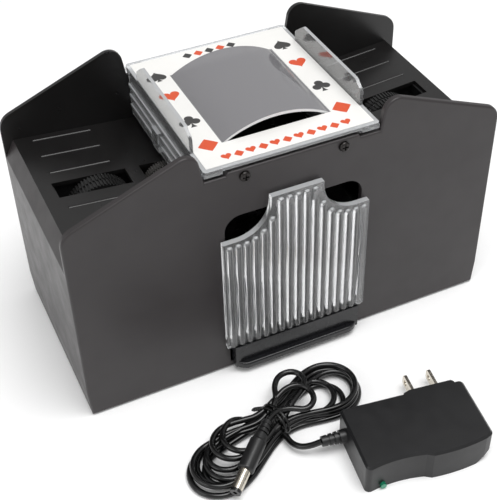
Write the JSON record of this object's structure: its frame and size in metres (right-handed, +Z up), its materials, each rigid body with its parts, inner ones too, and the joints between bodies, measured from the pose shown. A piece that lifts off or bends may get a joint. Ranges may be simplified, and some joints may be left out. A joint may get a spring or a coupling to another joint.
{
  "type": "automatic card shuffler",
  "caption": "Two-deck motorised playing card shuffler with finned black housing, clear press cover, ribbed clear card tray and a mains adapter on a tied cord.",
  "frame": {"origin": "bottom centre of the shuffler's bounding box, on the surface it stands on, without the mains adapter and its cord", "axes": "+X along the width towards the right-hand card deck, -Y out of the card tray's front, +Z up"},
  "size_m": [0.226, 0.2134, 0.1403],
  "materials": {
    "shell_abs": "fine spark-eroded texture, black",
    "deck_abs": "plain moulded, semi-gloss black",
    "tray_abs": "fine texture, black",
    "clear_styrene": "polished, water clear",
    "smoked_styrene": "polished, grey tint",
    "printed_card": "white printed card under the light, satin",
    "foot_rubber": "moulded",
    "tread_rubber": "moulded, matt",
    "roller_rubber": "moulded, matt grey",
    "gear_nylon": "natural nylon",
    "frame_abs": "moulded",
    "motor_can": "plated can",
    "shaft_steel": "ground",
    "screw_steel": "nickel plated",
    "spring_steel": "drawn wire",
    "bush_bronze": "sintered",
    "contact_plate": "nickel plated",
    "board": "solder resist",
    "switch_body": "moulded",
    "adapter_abs": "fine texture, black",
    "cord_pvc": "extruded, glossy",
    "plug_pvc": "moulded, satin",
    "nickel": "nickel plated",
    "lamp_lens": "clear green"
  },
  "bodies": {
    "housing": {"front_panel": "shell_abs", "back_panel": "deck_abs", "side_wall_left": "shell_abs", "side_wall_right": "shell_abs", "deck_left": "deck_abs", "deck_right": "deck_abs", "base_plate": "shell_abs", "battery_box_left": "frame_abs", "battery_box_right": "frame_abs", "battery_contacts": "contact_plate", "rubber_feet": "foot_rubber", "bay_walls": "frame_abs", "drive_frame_left": "frame_abs", "drive_frame_right": "frame_abs", "bearing_bushes": "bush_bronze", "gear_pins": "shaft_steel", "motor_left": "motor_can", "motor_right": "motor_can", "motor_screws": "screw_steel", "cover_rails": "frame_abs", "return_springs": "spring_steel", "cover_switch": "switch_body", "dc_jack": "switch_body", "circuit_board": "board", "case_screws": "screw_steel"},
    "cover": {"press_cover": "clear_styrene", "card_insert": "printed_card", "window_lens": "smoked_styrene"},
    "plunger": {"switch_plunger": "switch_body"},
    "tray": {"card_tray": "tray_abs", "tray_front": "clear_styrene"},
    "supply": {"adapter_case": "adapter_abs", "adapter_blades": "nickel", "adapter_lamp": "lamp_lens", "cord_gland": "plug_pvc", "cord_lead": "cord_pvc", "cord_hank": "cord_pvc", "dc_plug": "plug_pvc", "plug_barrel": "nickel"},
    "feed_wheel_right": {"feed_axle_right": "gear_nylon", "feed_tyre_right": "tread_rubber", "feed_gear_right": "gear_nylon"},
    "throw_wheel_right": {"throw_axle_right": "gear_nylon", "throw_tyre_right": "roller_rubber", "throw_gear_right": "gear_nylon"},
    "idler_right": {"idler_gear_right": "gear_nylon"},
    "reduction_right": {"reduction_gear_right": "gear_nylon"},
    "pinion_right": {"motor_pinion_right": "shaft_steel"},
    "battery_door_right": {"battery_door_right": "shell_abs"},
    "feed_wheel_left": {"feed_axle_left": "gear_nylon", "feed_tyre_left": "tread_rubber", "feed_gear_left": "gear_nylon"},
    "throw_wheel_left": {"throw_axle_left": "gear_nylon", "throw_tyre_left": "roller_rubber", "throw_gear_left": "gear_nylon"},
    "idler_left": {"idler_gear_left": "gear_nylon"},
    "reduction_left": {"reduction_gear_left": "gear_nylon"},
    "pinion_left": {"motor_pinion_left": "shaft_steel"},
    "battery_door_left": {"battery_door_left": "shell_abs"}
  },
  "joints": [
    {"name": "cover_press", "type": "slide", "parent": "housing", "child": "cover", "axis": [0, 0, -1], "range_m": [0, 0.0015], "stiffness_N_per_m": 400, "springref_m": -0.006, "deforming": ["return_springs"]},
    {"name": "plunger_travel", "type": "slide", "parent": "housing", "child": "plunger", "axis": [0, 0, -1], "range_m": [0, 0.0015]},
    {"name": "tray_slide", "type": "slide", "parent": "housing", "child": "tray", "axis": [0, -1, 0], "range_m": [0, 0.09]},
    {"name": "supply_place", "type": "slide", "parent": "tray", "child": "supply", "axis": [0, -1, 0], "range_m": [0, 0.1]},
    {"name": "feed_wheel_right_spin", "type": "hinge", "parent": "housing", "child": "feed_wheel_right", "pos_m": [0.08, 0.00315, 0.08546], "axis": [0, 1, 0], "continuous": true},
    {"name": "throw_wheel_right_spin", "type": "hinge", "parent": "housing", "child": "throw_wheel_right", "pos_m": [0.046, 0.00315, 0.08893], "axis": [0, 1, 0], "continuous": true},
    {"name": "idler_right_spin", "type": "hinge", "parent": "housing", "child": "idler_right", "pos_m": [0.0595, 0.00315, 0.08195], "axis": [0, 1, 0], "continuous": true},
    {"name": "reduction_right_spin", "type": "hinge", "parent": "housing", "child": "reduction_right", "pos_m": [0.088, 0.00315, 0.0716], "axis": [0, 1, 0], "continuous": true},
    {"name": "pinion_right_spin", "type": "hinge", "parent": "housing", "child": "pinion_right", "pos_m": [0.08345, 0.00315, 0.0546], "axis": [0, 1, 0], "continuous": true},
    {"name": "battery_door_right_hinge", "type": "hinge", "parent": "housing", "child": "battery_door_right", "pos_m": [0.1036, 0.00315, 0.0029], "axis": [0, -1, 0], "range_deg": [0, 90]},
    {"name": "feed_wheel_left_spin", "type": "hinge", "parent": "housing", "child": "feed_wheel_left", "pos_m": [-0.08, 0.00315, 0.08546], "axis": [0, 1, 0], "continuous": true},
    {"name": "throw_wheel_left_spin", "type": "hinge", "parent": "housing", "child": "throw_wheel_left", "pos_m": [-0.046, 0.00315, 0.08893], "axis": [0, 1, 0], "continuous": true},
    {"name": "idler_left_spin", "type": "hinge", "parent": "housing", "child": "idler_left", "pos_m": [-0.0595, 0.00315, 0.08195], "axis": [0, 1, 0], "continuous": true},
    {"name": "reduction_left_spin", "type": "hinge", "parent": "housing", "child": "reduction_left", "pos_m": [-0.088, 0.00315, 0.0716], "axis": [0, 1, 0], "continuous": true},
    {"name": "pinion_left_spin", "type": "hinge", "parent": "housing", "child": "pinion_left", "pos_m": [-0.08345, 0.00315, 0.0546], "axis": [0, 1, 0], "continuous": true},
    {"name": "battery_door_left_hinge", "type": "hinge", "parent": "housing", "child": "battery_door_left", "pos_m": [-0.1036, 0.00315, 0.0029], "axis": [0, 1, 0], "range_deg": [0, 90]}
  ],
  "couplings": [
    {"joint": "plunger_travel", "follows": "cover_press", "ratio": 1},
    {"joint": "throw_wheel_right_spin", "follows": "feed_wheel_right_spin", "ratio": 2},
    {"joint": "idler_right_spin", "follows": "feed_wheel_right_spin", "ratio": -1.1667},
    {"joint": "reduction_right_spin", "follows": "feed_wheel_right_spin", "ratio": -2.3333},
    {"joint": "pinion_right_spin", "follows": "feed_wheel_right_spin", "ratio": 7.9333},
    {"joint": "throw_wheel_left_spin", "follows": "feed_wheel_left_spin", "ratio": 2},
    {"joint": "idler_left_spin", "follows": "feed_wheel_left_spin", "ratio": -1.1667},
    {"joint": "reduction_left_spin", "follows": "feed_wheel_left_spin", "ratio": -2.3333},
    {"joint": "pinion_left_spin", "follows": "feed_wheel_left_spin", "ratio": 7.9333}
  ]
}
